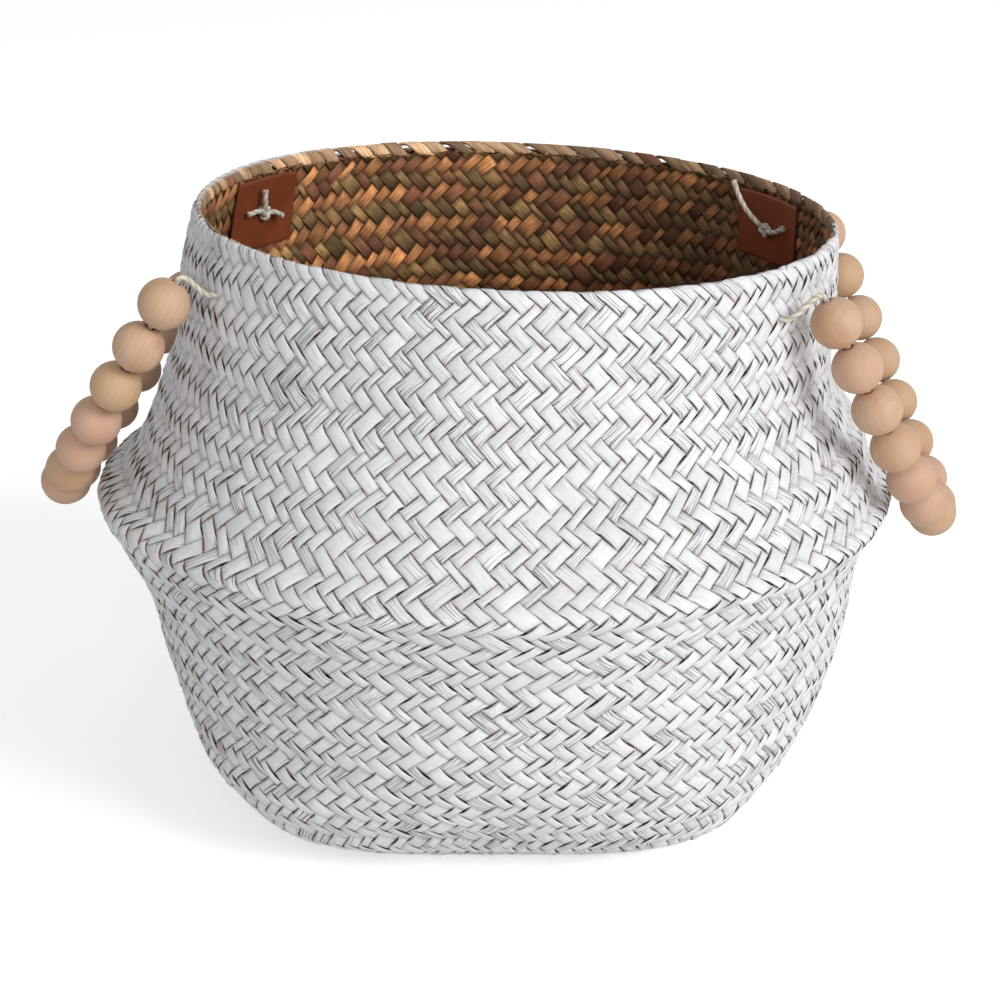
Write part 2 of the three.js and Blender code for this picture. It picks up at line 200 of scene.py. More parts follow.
# Each lamp's place, the height that it aims at and its size in metres, and its power in key lamps.
# The camera's place in metres, how far it looks down in degrees, and its lens and sensor.
LAMPS = {
    "key_lamp": ((3.6, -3.0, 2.9), 0.15, 2.4, 1.0),
    "front_lamp": ((0.2, -3.6, 0.8), 0.12, 2.0, 0.205),
}
CAMERA_PLACE = (0, -1.1003, 0.5669)
CAMERA_DIP = 20.47
CAMERA_LENS = 79.26
CAMERA_SENSOR = 36

# Colours of stains and of painted shadow in the gaps, of worn paint, of other wood and of painted
# shadow in the bores
DEEP_RED_BROWN = (0.22, 0.085, 0.045, 1.0)
CREAM_WASH = (0.80, 0.765, 0.73, 1.0)
DARK_STAIN_AND_GAP_SHADOW = (0.04, 0.026, 0.02, 1.0)
RED_STAIN = (0.2, 0.085, 0.045, 1.0)
SCRATCH = (0.09, 0.06, 0.05, 1.0)
WOOD_BLOTCH = (0.46, 0.22, 0.11, 1.0)
PINK_WOOD = (0.57, 0.35, 0.265, 1.0)
YELLOW_WOOD = (0.5, 0.33, 0.175, 1.0)
PAINTED_BORE_SHADOW = (0.11, 0.05, 0.025, 1.0)


class BasketSizes(bpy.types.PropertyGroup):
    """Sizes and colours of the woven body."""

    strip_thickness: bpy.props.FloatProperty(
        name="Strip thickness", description="Thickness of one flattened sedge strip",
        default=1.2 * MM, unit="LENGTH")
    strip_rise: bpy.props.FloatProperty(
        name="Strip rise", description="How far a strip stands off the wall's middle on its floats",
        default=1.2 * MM, unit="LENGTH")
    unevenness: bpy.props.FloatProperty(
        name="Unevenness", description="How much the strips differ in width, as a share of it",
        default=0.27, subtype="FACTOR", min=0.0, max=0.4)
    rim_sedge: bpy.props.FloatVectorProperty(
        name="Rim sedge", description="Bare colour of the wraps inside the rim",
        default=(0.5, 0.315, 0.18), subtype="COLOR")
    whitewash: bpy.props.FloatVectorProperty(
        name="Whitewash", description="Colour of the paint on the outside",
        default=(0.81, 0.812, 0.825), subtype="COLOR")
    olive_sedge: bpy.props.FloatVectorProperty(
        name="Olive sedge", description="Bare colour of the strips that climb to the right",
        default=(0.28, 0.165, 0.066), subtype="COLOR")
    rust_sedge: bpy.props.FloatVectorProperty(
        name="Rust sedge", description="Bare colour of the strips that climb to the left",
        default=(0.52, 0.225, 0.085), subtype="COLOR")


class HandleSizes(bpy.types.PropertyGroup):
    """Sizes and colours of the handles, knots and patches."""

    bead_diameter: bpy.props.FloatProperty(
        name="Bead diameter", description="Diameter of a turned bead",
        default=25 * MM, unit="LENGTH")
    bead_bore: bpy.props.FloatProperty(
        name="Bead bore", description="Diameter of the hole through a bead",
        default=4.6 * MM, unit="LENGTH")
    cord_diameter: bpy.props.FloatProperty(
        name="Cord diameter", description="Diameter of the laid cotton cord",
        default=3 * MM, unit="LENGTH")
    bead_wood: bpy.props.FloatVectorProperty(
        name="Bead wood", description="Colour of the beads",
        default=(0.53, 0.35, 0.235), subtype="COLOR")
    cotton: bpy.props.FloatVectorProperty(
        name="Cotton", description="Colour of the cord",
        default=(0.80, 0.74, 0.62), subtype="COLOR")
    leather: bpy.props.FloatVectorProperty(
        name="Leather", description="Colour of the patches",
        default=(0.2, 0.047, 0.016), subtype="COLOR")


class StageSizes(bpy.types.PropertyGroup):
    """Light and floor."""

    key_power: bpy.props.FloatProperty(
        name="Key lamp", description="Power of the large soft lamp", default=180.0, unit="POWER")
    fill_strength: bpy.props.FloatProperty(
        name="Fill", description="Strength of the even light from all round", default=0.415)
    floor_glow: bpy.props.FloatProperty(
        name="Floor glow", description="What whitens the floor for the camera alone", default=0.5)
    floor_colour: bpy.props.FloatVectorProperty(
        name="Floor", description="Colour of the floor", default=(0.9, 0.9, 0.9),
        subtype="COLOR")


# The outline's surface

def table_value(table, share, column):
    """Smooth value of a table at each share: cubic pieces whose slope at a row is the harmonic mean
    of the slopes beside it, and nothing where they differ in sign, so it never overshoots."""
    x, y = table[:, 0], table[:, column]
    width = np.diff(x)
    slope = np.diff(y) / width
    both = slope[:-1] * slope[1:]
    mean = np.where(both > 0, 2 * both / np.where(both > 0, slope[:-1] + slope[1:], 1), 0)
    tangent = np.concatenate([slope[:1], mean, slope[-1:]])
    share = np.clip(share, x[0], x[-1])
    row = np.clip(np.searchsorted(x, share, side="right") - 1, 0, len(x) - 2)
    t = (share - x[row]) / width[row]
    low, high = y[row], y[row + 1]
    rise, fall = tangent[row] * width[row], tangent[row + 1] * width[row]
    return (low * (2 * t**3 - 3 * t**2 + 1) + rise * (t**3 - 2 * t**2 + t)
            + high * (3 * t**2 - 2 * t**3) + fall * (t**3 - t**2))


def side_radius(height, column):
    """Radius of the outline on one side: the bowl's table below the belly, the neck's above."""
    bowl = table_value(BOWL_SHARES, height / BELLY_HEIGHT, column)
    rise = (height - BELLY_HEIGHT) / (BASKET_HEIGHT - BELLY_HEIGHT)
    neck = table_value(NECK_SHARES, rise, column)
    return np.where(height <= BELLY_HEIGHT,
                    BASE_RADIUS + (BELLY_RADIUS - BASE_RADIUS) * bowl,
                    RIM_RADIUS + (BELLY_RADIUS - RIM_RADIUS) * neck)


def outer_radius(height, azimuth):
    """Outer radius: left and right outlines blended by (1 + cos azimuth) / 2, times a superellipse
    whose power falls from the base's squareness to 2, a circle, with height."""
    rightward = (1 + np.cos(azimuth)) / 2
    radius = side_radius(height, 1) * (1 - rightward) + side_radius(height, 2) * rightward
    fade = np.maximum(0, 1 - height / SQUARE_FADE_HEIGHT) ** SQUARE_FADE_POWER
    power = 2 + (BASE_SQUARENESS - 2) * fade
    around = np.abs(np.cos(azimuth)) ** power + np.abs(np.sin(azimuth)) ** power
    return radius * around ** (-1 / power)


def place(radius, height, azimuth):
    """Point at a radius, height and azimuth in millimetres: the neck leans in proportion to the
    height above the belly, and the rim tilts in proportion to the height above the flare."""
    lean = np.clip((height - BELLY_HEIGHT) / (BASKET_HEIGHT - BELLY_HEIGHT), 0, 1)
    tilt = np.clip((height - FLARE_TOP) / (BASKET_HEIGHT - FLARE_TOP), 0, None)
    return np.stack([
        radius * np.cos(azimuth) + NECK_LEAN[0] * lean,
        radius * np.sin(azimuth) + NECK_LEAN[1] * lean,
        height - RIM_TILT_RISE * tilt * np.cos(azimuth),
    ], axis=-1)


def unit(vectors):
    """Vectors scaled to length one."""
    return vectors / np.linalg.norm(vectors, axis=-1, keepdims=True)


def face_point(height, azimuth):
    """Point on the wall's outer face."""
    return place(outer_radius(height, azimuth), height, azimuth)


def wall_point(height, azimuth, outward, curl=0.0):
    """Point at a distance outward, in millimetres, from the wall's outer face along its normal N,
    the cross product of the face's two tangents. With a curl c it turns over an arc of radius r
    that starts there: P - r N + (r + outward) (N cos c + U sin c), where U points up the face."""
    low = np.clip(height - PROBE_RISE, 0, None)
    high = np.clip(height + PROBE_RISE, None, BASKET_HEIGHT)
    up = face_point(high, azimuth) - face_point(low, azimuth)
    along = face_point(height, azimuth + PROBE_TURN) - face_point(height, azimuth - PROBE_TURN)
    normal, up = unit(np.cross(along, up)), unit(up)
    face = face_point(height, azimuth)
    curl = np.broadcast_to(curl, face.shape[:-1])[..., None]
    reach = CREST_RADIUS + np.broadcast_to(outward, face.shape[:-1])[..., None]
    turned = normal * (reach * np.cos(curl) - CREST_RADIUS) + up * reach * np.sin(curl)
    return face + turned


def far_share(azimuth):
    """One on the far side of the rim, nought on the near side and eased between."""
    return np.clip(1.2 * np.sin(azimuth) + 0.45, 0, 1)


def full_turn(count):
    """Angles spaced evenly round a circle."""
    return np.linspace(0, 2 * np.pi, count, endpoint=False)


def waves(table, turn, height):
    """Sum of sines of the place round the wall and the height, from a table."""
    return sum(reach * np.sin(count * turn + height / rise + start)
               for reach, count, rise, start in table)


def step_table():
    """Heights, steps and drifts up the wall. The steps are the mean outline's arc length over the
    local step rise, summed so that the rim is at the top step. The drift is how far round the
    crossings have slid, in spacings: the lean share less a half, summed likewise."""
    heights = np.linspace(0, BASKET_HEIGHT, 800)
    radius = (side_radius(heights, 1) + side_radius(heights, 2)) / 2
    arc = np.hypot(np.diff(heights), np.diff(radius))
    middle = (heights[:-1] + heights[1:]) / 2
    rises = arc / np.interp(middle, STEP_HEIGHTS, STEP_RISES)
    steps = np.concatenate([[0], np.cumsum(rises)])
    slides = rises * (np.interp(middle, STEP_HEIGHTS, LEAN_SHARES) - 0.5)
    drifts = np.concatenate([[0], np.cumsum(slides)])
    return heights, steps - steps[-1] + TOP_STEP, drifts - drifts[-1]


HEIGHTS, STEPS, DRIFTS = step_table()
BOTTOM_STEP = float(STEPS[0])
CREST_STEP = float(np.interp(CREST_HEIGHT, HEIGHTS, STEPS))


# Meshes from arrays

def add_mesh(name, points, faces, uv, carried, material):
    """A mesh object from points in millimetres, faces of four corners, and values for each point."""
    mesh = bpy.data.meshes.new(name)
    faces = np.reshape(faces, (-1, 4))
    mesh.from_pydata(np.reshape(points, (-1, 3)) * MM, [], faces)
    mesh.shade_smooth()
    if uv is not None:
        layer = mesh.uv_layers.new(name="Strip")
        layer.data.foreach_set("uv", np.reshape(uv, (-1, 2))[faces].astype(np.float32).ravel())
    for key, values in carried.items():
        attribute = mesh.attributes.new(key, "FLOAT", "POINT")
        attribute.data.foreach_set("value", np.asarray(values, np.float32).ravel())
    mesh.materials.append(material)
    mesh.validate()
    piece = bpy.data.objects.new(name, mesh)
    bpy.context.scene.collection.objects.link(piece)
    return piece


def tube_faces(runs, rings, around):
    """Corner numbers of closed tubes side by side, capped by folding each end ring on itself:
    points are numbered by tube, ring and place round the ring."""
    tube, ring, spot = np.meshgrid(
        np.arange(runs), np.arange(rings - 1), np.arange(around), indexing="ij")
    start = (tube * rings + ring) * around
    following = (spot + 1) % around
    sides = np.stack([start + spot, start + following,
                      start + around + following, start + around + spot], axis=-1)
    half = np.arange(around // 2 - 1)
    cap = np.stack([half, half + 1, around - 2 - half, around - 1 - half], axis=-1)
    first = np.arange(runs)[:, None, None] * rings * around
    last = first + (rings - 1) * around
    ends = np.concatenate([(first + cap[:, ::-1]).reshape(-1, 4), (last + cap).reshape(-1, 4)])
    return np.concatenate([sides.reshape(-1, 4), ends])


def add_tubes(name, points, uv, carried, material, inside_out=False):
    """One piece of capped tubes, from their grid of points."""
    faces = tube_faces(*points.shape[:3])
    return add_mesh(name, points, faces[:, ::-1] if inside_out else faces, uv, carried, material)


def ring_faces(rings, around):
    """Corner numbers of a surface that closes both ways, from its rings of points."""
    ring, spot = np.meshgrid(np.arange(rings), np.arange(around), indexing="ij")
    after, beside = (ring + 1) % rings, (spot + 1) % around
    return np.stack([ring * around + spot, ring * around + beside,
                     after * around + beside, after * around + spot], axis=-1)


# Materials

class Nodes:
    """A node tree, with short ways to add a node and join it to others."""

    def __init__(self, tree):
        self.tree = tree

    def node(self, kind, inputs=None, **settings):
        """Adds a node, with its settings, and joins or sets its inputs."""
        node = self.tree.nodes.new(kind)
        for key, value in settings.items():
            setattr(node, key, value)
        self.join(node, inputs or {})
        return node

    def join(self, node, inputs):
        """Joins a node's inputs to other nodes or sets them."""
        for key, value in inputs.items():
            if isinstance(value, bpy.types.NodeSocket):
                self.tree.links.new(value, node.inputs[key])
            else:
                node.inputs[key].default_value = value

    def math(self, operation, first, second=0.0):
        """One sum of one or two values."""
        return self.node("ShaderNodeMath", {0: first, 1: second}, operation=operation).outputs[0]

    def times(self, first, *others):
        """Product of values."""
        for other in others:
            first = self.math("MULTIPLY", first, other)
        return first

    def plus(self, first, second):
        """Sum of two values."""
        return self.math("ADD", first, second)

    def minus(self, first, second):
        """First value less the second."""
        return self.math("SUBTRACT", first, second)


class Shader(Nodes):
    """A material's nodes, with what its colour and bump are made from."""

    def __init__(self, name, roughness, specular):
        self.material = bpy.data.materials.new(name)
        self.material.use_nodes = True
        super().__init__(self.material.node_tree)
        self.surface = self.tree.nodes["Principled BSDF"]
        self.join(self.surface, {"Roughness": roughness, "Specular IOR Level": specular})

    def ramp(self, value, low, high, start=0.0, end=1.0):
        """Value eased from start to end as it goes from low to high."""
        inputs = {"Value": value, "From Min": low, "From Max": high, "To Min": start, "To Max": end}
        node = self.node("ShaderNodeMapRange", inputs, interpolation_type="SMOOTHSTEP")
        return node.outputs["Result"]

    def mix(self, share, first, second, blend="MIX"):
        """Two colours mixed."""
        inputs = {0: share, 6: first, 7: second}
        node = self.node("ShaderNodeMix", inputs, data_type="RGBA", blend_type=blend)
        return node.outputs[2]

    def shaded(self, colour, value):
        """A colour times a value."""
        return self.mix(1.0, colour, self.vector(value, value, value), "MULTIPLY")

    def noise(self, vector, scale, detail=2.0, roughness=0.5):
        """Noise between nought and one at a vector."""
        inputs = {"Vector": vector, "Scale": scale, "Detail": detail, "Roughness": roughness}
        return self.node("ShaderNodeTexNoise", inputs).outputs["Fac"]

    def vector(self, x, y, z):
        """Three values as one vector."""
        return self.node("ShaderNodeCombineXYZ", {0: x, 1: y, 2: z}).outputs[0]

    def chance(self, x, y, z):
        """Random values that belong to a place."""
        return self.node("ShaderNodeTexWhiteNoise", {"Vector": self.vector(x, y, z)},
                         noise_dimensions="3D").outputs

    def place(self):
        """Where a point is in its object."""
        return self.node("ShaderNodeTexCoord").outputs["Object"]

    def attribute(self, name):
        """A value that the mesh carries at each point."""
        return self.node("ShaderNodeAttribute", attribute_name=name).outputs["Fac"]

    def finish(self, colour, height, distance, strength):
        """Joins colour, and bump from a height with its depth in metres, and gives the material."""
        bump = self.node("ShaderNodeBump", {"Height": height, "Distance": distance,
                                            "Strength": strength})
        self.join(self.surface, {"Base Color": colour, "Normal": bump.outputs["Normal"]})
        return self.material


def rgba(colour, brightness=1.0):
    """A colour with full cover, made brighter or darker."""
    return (*(channel * brightness for channel in colour), 1.0)


def sedge_material(name, bare, whitewash, dark_share):
    """Flattened sedge. The first UV value counts steps along the strip, two to a float, and the second
    counts strips, its fraction running across one. Paint lies where the mesh says, thins out in
    streaks, and stops short of a float's edges and ends, whose dark stain is partly painted shadow in
    the gaps. Bare strip and paint both carry painted shade at a float's edges and ends, the bare strip
    is painted lighter on the left and darker on the right, and the paint darker near the edges on the
    left. The dark share of the bare floats is a deep red-brown."""
    s = Shader(name, roughness=0.72, specular=0.3)
    uv = s.node("ShaderNodeUVMap", uv_map="Strip").outputs["UV"]
    along, across, _ = s.node("ShaderNodeSeparateXYZ", {0: uv}).outputs
    strip = s.math("FLOOR", across)
    run = s.math("FLOOR", s.times(along, 0.5))
    within, local = s.minus(across, strip), s.minus(along, s.times(run, 2.0))
    side = s.math("MINIMUM", within, s.minus(1.0, within))
    end = s.math("MINIMUM", local, s.minus(2.0, local))
    picks = s.node("ShaderNodeSeparateColor", {0: s.chance(strip, run, 0.0)["Color"]}).outputs
    shifted = s.plus(s.times(within, 6.5), s.times(strip, 11.3))

    def streaky(stretch, fineness, *noise):
        """Noise drawn out along the strip, another on each float."""
        return s.noise(s.vector(s.times(along, stretch), s.times(shifted, fineness), run), *noise)

    fibres = streaky(0.55, 1.0, 1.6, 4.0, 0.62)
    fine = streaky(1.4, 3.2, 1.5, 3.0, 0.6)
    smudge = streaky(0.8, 0.5, 1.1, 2.0)

    # bare strip
    sideways = s.node("ShaderNodeSeparateXYZ", {0: s.place()}).outputs[0]
    # painted light and shade: bare strips lighter on the left and darker on the right, times each
    # strip's own random tone
    tone_and_painted_side_shade = s.times(s.ramp(s.chance(strip, 7.0, 3.0)["Value"], 0.0, 1.0, 0.62, 1.3),
                   s.ramp(sideways, -0.1, 0.13, 1.38, 0.66))
    bare_colour = s.mix(picks[0], rgba(bare, 0.55), rgba(bare, 1.4))
    dark = s.ramp(picks[2], 0.92 - dark_share, 1.08 - dark_share)
    bare_colour = s.mix(dark, bare_colour, DEEP_RED_BROWN)
    bare_colour = s.mix(s.ramp(fibres, 0.38, 0.7, 0.0, 0.8), bare_colour, rgba(bare, 0.42))
    # painted shade: bare floats darker at their edges and ends and towards one end, besides their own
    # blotches
    painted_shade_and_tone = s.times(tone_and_painted_side_shade, s.ramp(side, 0.0, 0.15, 0.35, 1.0), s.ramp(end, 0.0, 0.6, 0.5, 1.06),
                    s.ramp(smudge, 0.35, 0.65, 1.12, 0.8), s.ramp(local, 0.1, 1.9, 0.7, 1.3))
    bare_colour = s.shaded(bare_colour, painted_shade_and_tone)

    # paint over it
    scratches = streaky(0.16, 1.45, 1.5, 1.0, 0.5)
    wear = s.ramp(picks[1], 0.3, 1.0, 0.0, 0.15)
    worn = s.times(s.ramp(s.plus(fibres, wear), 0.72, 0.8), 0.3)
    lines = s.ramp(s.plus(scratches, wear), 0.70, 0.73)
    # the paint stops short of a float's edges and ends, where the dark stain shows: partly unpainted
    # sedge and partly painted shadow in the gaps
    rough_side = s.plus(side, s.times(s.minus(fine, 0.5), 0.1))
    rough_end = s.plus(end, s.times(s.minus(fine, 0.5), 0.16))
    edge_reach = s.plus(s.times(s.math("FRACT", s.times(picks[2], 7.0)), 0.045), 0.03)
    # painted shade on the left side: wider dark edge lines there, and paint darkened near the edges
    painted_left_shade = s.ramp(sideways, -0.19, -0.06, 1.0, 0.0)
    edge_reach = s.plus(edge_reach, s.times(painted_left_shade, 0.07))
    cover = s.times(s.ramp(rough_side, 0.0, edge_reach), s.ramp(rough_end, 0.0, 0.08),
                    s.minus(1.0, worn), s.ramp(s.attribute("paint"), 0.3, 0.62))
    white = s.mix(s.ramp(fine, 0.42, 0.72), rgba(whitewash), rgba(whitewash, 0.86))
    white = s.mix(s.ramp(picks[0], 0.6, 1.0, 0.0, 0.25), white, CREAM_WASH)
    painted_left_edge_shade = s.times(painted_left_shade, s.ramp(side, 0.1, 0.3, 0.14, 0.0))
    # painted shade: paint darker at a float's edges and ends, and near the edges on the left; with
    # blotches and each float's own tone
    painted_shade_and_tone = s.times(s.ramp(smudge, 0.3, 0.75, 1.0, 0.9), s.ramp(picks[2], 0.0, 1.0, 0.91, 1.02),
                    s.ramp(side, 0.03, 0.14, 0.9, 1.0), s.ramp(end, 0.04, 0.4, 0.84, 1.0),
                    s.minus(1.0, painted_left_edge_shade))
    white = s.shaded(white, painted_shade_and_tone)
    # the stain is near-black or red-brown: partly real stain on unpainted edges, partly painted shadow
    # in the gaps between floats
    stain_and_gap_shadow = s.mix(s.ramp(picks[0], 0.5, 0.8), DARK_STAIN_AND_GAP_SHADOW, RED_STAIN)
    under = s.mix(s.attribute("outer"), bare_colour, stain_and_gap_shadow)
    colour = s.mix(cover, under, white)
    colour = s.mix(s.times(lines, 0.75, s.attribute("paint")), colour, SCRATCH)

    relief = s.plus(s.times(fibres, 0.7), s.times(fine, 0.5))
    return s.finish(colour, relief, 0.0005, 0.55)


def leather_material(colour):
    """Smooth tanned leather: cloudy colour, with a fine grain from cells and noise."""
    s = Shader("Tanned leather", roughness=0.55, specular=0.25)
    at = s.place()
    cloud = s.ramp(s.noise(at, 60.0, 3.0), 0.3, 0.7)
    tint = s.mix(cloud, rgba(colour, 0.86), rgba(colour, 1.16))
    cells = s.node("ShaderNodeTexVoronoi", {"Vector": at, "Scale": 1400.0}).outputs["Distance"]
    grain = s.plus(s.times(cells, 0.5), s.noise(at, 500.0, 3.0))
    return s.finish(tint, grain, 0.0002, 0.35)


def cotton_material(colour):
    """Laid cotton cord: fuzz over the plies that the mesh has, and painted shade in the grooves
    between them.
    """
    s = Shader("Cotton cord", roughness=0.9, specular=0.15)
    at = s.place()
    fuzz = s.noise(at, 2600.0, 3.0, 0.7)
    tint = s.mix(s.ramp(s.noise(at, 240.0, 2.0), 0.35, 0.7), rgba(colour), rgba(colour, 0.82))
    # painted shade: the grooves between the plies are darker
    tint = s.mix(s.ramp(s.attribute("groove"), 0.0, 0.8, 0.75, 0.0), tint, rgba(colour, 0.42))
    return s.finish(tint, fuzz, 0.0003, 0.6)


def wood_material(colour):
    """Pale turned wood. The mesh carries each bead's own axes: rings lie across them, and streaks
    and pores along, with a tint of its own for each bead."""
    s = Shader("Turned bead wood", roughness=0.55, specular=0.3)
    x, y, z = (s.attribute(f"grain_{axis}") for axis in "xyz")
    own = s.attribute("bead")
    stretched = s.vector(x, y, s.times(z, 0.16))
    start = s.vector(own, s.times(own, 0.37), 0.0)
    seeded = s.node("ShaderNodeVectorMath", {0: stretched, 1: start}, operation="ADD").outputs[0]
    broad = s.noise(seeded, 110.0, 3.0, 0.55)
    rings = s.math("SINE", s.plus(s.times(x, 1900.0), s.times(broad, 14.0)))
    pores = s.noise(seeded, 1500.0, 3.0, 0.6)
    tint = s.mix(s.ramp(rings, -1.0, 1.0, 0.0, 0.5), rgba(colour, 1.04), rgba(colour, 0.92))
    blotch = s.noise(seeded, 75.0, 2.0)
    tint = s.mix(s.ramp(blotch, 0.46, 0.72, 0.0, 0.55), tint, WOOD_BLOTCH)
    tint = s.mix(s.ramp(pores, 0.55, 0.75, 0.0, 0.28), tint, rgba(colour, 0.66))
    hues = s.node("ShaderNodeSeparateColor", {0: s.chance(own, 1.0, 2.0)["Color"]}).outputs
    tint = s.mix(s.ramp(hues[0], 0.2, 0.9, 0.0, 0.5), tint, PINK_WOOD)
    tint = s.mix(s.ramp(hues[1], 0.45, 1.0, 0.0, 0.6), tint, YELLOW_WOOD)
    # painted shadow: the inside of the bore is near-black
    tint = s.mix(s.ramp(s.attribute("bore"), 0.0, 1.0), tint, PAINTED_BORE_SHADOW)
    return s.finish(tint, pores, 0.0002, 0.15)


# The weave

def uneven(nominal, shifts):
    """Real place of a nominal one across the strips: edges, which lie at halves, move by their
    shifts, in spacings, and what is between them in proportion."""
    return nominal + np.interp(nominal - 0.5, np.arange(STRIPS), shifts, period=STRIPS)


def woven_point(right, left, outward, shifts):
    """Point of the wall at counts of right-climbing and left-climbing strips: their sum is the step
    up the wall, and the place round it is half their difference and the drift at that step."""
    right, left = uneven(right, shifts[0]), uneven(left, shifts[1])
    turn = 2 * np.pi / STRIPS * ((left - right) / 2 + np.interp(right + left, STEPS, DRIFTS))
    step = right + left
    fade = np.clip(np.minimum(TOP_STEP - step, step - BOTTOM_STEP) / CALM_STEPS, 0, 1)
    step = np.clip(step + waves(COURSE_WAVES, turn, 0) * fade, BOTTOM_STEP, TOP_STEP)
    height = np.interp(np.minimum(step, CREST_STEP), STEPS, HEIGHTS)
    curl = np.clip((step - CREST_STEP) / (TOP_STEP - CREST_STEP), 0, 1) * CREST_TURN
    sink = FAR_TIP_SINK * far_share(turn) * np.clip(curl, 0, 1)
    dents = waves(DENTS, turn, height)
    return wall_point(height, turn, outward + dents * fade - sink, curl)


def steep_wave(phase, power):
    """How far out a strip is, from -1 to 1, at a phase in steps, over two crossings and under two:
    sign(s) |s|^power, where s is the sine of a quarter turn a step."""
    wave = np.sin(np.pi * phase / 2)
    return np.sign(wave) * np.abs(wave) ** power


def weave_strips(family, first, count, sizes):
    """Grid of points of some strips of one family: by strip, place along and place in the section.
    A strip stands off the wall's middle by the rise times a steep wave of the step. Gives the
    points and what the mesh carries."""
    thickness, rise = sizes.strip_thickness / MM, sizes.strip_rise / MM
    shifts = [np.random.default_rng(seed).uniform(-sizes.unevenness, sizes.unevenness, STRIPS)
              for seed in (11, 12)]
    lag, slack, gap = LAGS[family], 0.6, 0.1
    bottom, top = BOTTOM_STEP + lag, TOP_STEP + lag
    runs = np.arange(math.floor(bottom / 2), math.ceil(top / 2))
    phase = (2 * runs[:, None] + np.array(FLOAT_PLACES)).ravel()
    half = np.where(runs[:, None] % 2 == 0, FLOAT_HALF_WIDTHS, INNER_HALF_WIDTHS).ravel()
    tip = top - (TOP_STEP - CREST_STEP) * np.array(TIP_PLACE_SHARES)
    keep = (phase > bottom - slack) & (phase < tip[0] - gap)
    level = np.append(np.zeros(keep.sum()), TIP_LEVEL_SHARES)[:, None]
    phase, half = np.append(phase[keep], tip), np.append(half[keep], TIP_HALF_WIDTHS)

    random = np.random.default_rng(21 if family == "right" else 22)
    chances = random.uniform(-1, 1, (STRIPS, RUN_LIMIT, 3))
    run = np.floor(phase / 2).astype(int)
    chance = chances[first:first + count, run + RUN_OFFSET]
    across, through, paint = STRIP_SECTION.T

    own = np.arange(first, first + count)[:, None, None]
    step = (phase - lag)[:, None]
    narrowing = 1 - 0.055 * (chance[..., 0] + 1)
    width = (half * narrowing)[..., None] * across
    skew = 0.05 * chance[..., 1] * (phase - 2 * run - 1)
    wave = steep_wave(np.minimum(phase, top - 1), WAVE_POWER)
    lift = wave * (rise + 0.18 * chance[..., 1])
    twist = np.abs(wave)[:, None] * 0.42 * chance[..., 2:] * across
    outward = -WALL_THICKNESS / 2 + lift[..., None] + through * thickness + twist

    mine, other = own + width + skew[..., None], step - own - width * level
    pair = (mine, other) if family == "right" else (other, mine)
    points = woven_point(*pair, outward, shifts)
    lowest = 0.3
    points[..., 2] = np.maximum(points[..., 2], lowest)
    along, beside = (phase + 2 * RUN_OFFSET)[:, None], own + 0.5 + UV_HALF_WIDTH * across
    uv = np.stack(np.broadcast_arrays(along, beside), axis=-1)
    # paint didn't reach where a strip dives under the others; there its outer face takes the
    # near-black stain, which is also painted shadow in the gaps
    shown = np.clip((wave + 0.9) / 0.5, 0, 1)[:, None]
    carried = {"outer": np.broadcast_to(paint, width.shape),
               "paint": np.broadcast_to(paint * shown, width.shape)}
    return points, uv, carried


def flat_strips(family, sizes):
    """Strips of the flat base on the slant, each cut where it leaves the base's rounded square,
    |x|^p + |y|^p = reach^p, in the same over-two, under-two order. Same grid as the wall's."""
    reach, half_width = BASE_RADIUS * 0.985, 0.47
    diagonal = math.sqrt(0.5)
    across, through, paint = STRIP_SECTION.T
    strips = np.arange(-math.floor(1.2 * reach / BASE_SPACING), 1.2 * reach / BASE_SPACING)
    middle = strips[:, None] * BASE_SPACING
    trial = np.linspace(-1.5 * reach, 1.5 * reach, 1200)
    corner = np.abs((trial - middle) * diagonal / reach) ** BASE_SQUARENESS
    inside = corner + np.abs((trial + middle) * diagonal / reach) ** BASE_SQUARENESS < 1
    low = np.where(inside, trial, np.inf).min(axis=1)
    high = np.where(inside, trial, -np.inf).max(axis=1)
    kept = high - low > BASE_SPACING
    strips, low, high = strips[kept], low[kept], high[kept]

    along = low[:, None] + (high - low)[:, None] * np.linspace(0, 1, 64)
    phase = along / BASE_SPACING + strips[:, None] + LAGS[family]
    wave = steep_wave(phase, BASE_WAVE_POWER)
    thickness, rise = sizes.strip_thickness / MM, sizes.strip_rise / MM
    length, offset = along[..., None], BASE_SPACING * (strips[:, None, None] + half_width * across)
    mirror = 1 if family == "right" else -1
    depth = WALL_THICKNESS / 2 - wave[..., None] * rise - through * thickness
    points = np.stack([mirror * (length - offset) * diagonal, (length + offset) * diagonal,
                       np.maximum(depth, 0)], axis=-1)
    beside = strips[:, None, None] + 0.5 + UV_HALF_WIDTH * across + RUN_LIMIT
    uv = np.stack(np.broadcast_arrays(phase[..., None] + 2 * RUN_OFFSET, beside), axis=-1)
    paint = np.broadcast_to(paint, points.shape[:3])
    return points, uv, {"outer": paint, "paint": paint}


# Cords

def handle_route(side):
    """Points between the beads of one handle and at its two ends, in millimetres, from the beads'
    joints: a bead reaches half its spacing each way along its axis from its middle."""
    joints = {joint["name"]: joint for joint in frame["joints"]}
    beads = [joints[f"spin_{side}_bead_{number:02d}"] for number in range(1, BEADS + 1)]
    middles = np.array([bead["pos_m"] for bead in beads]) / MM
    axes = unit(np.array([bead["axis"] for bead in beads], float))
    half = bpy.context.scene.handle_sizes.bead_diameter / MM / 2 + BEAD_HALF_GAP
    ends, starts = middles + half * axes, middles - half * axes
    return np.concatenate([starts[:1], (ends[:-1] + starts[1:]) / 2, ends[-1:]])


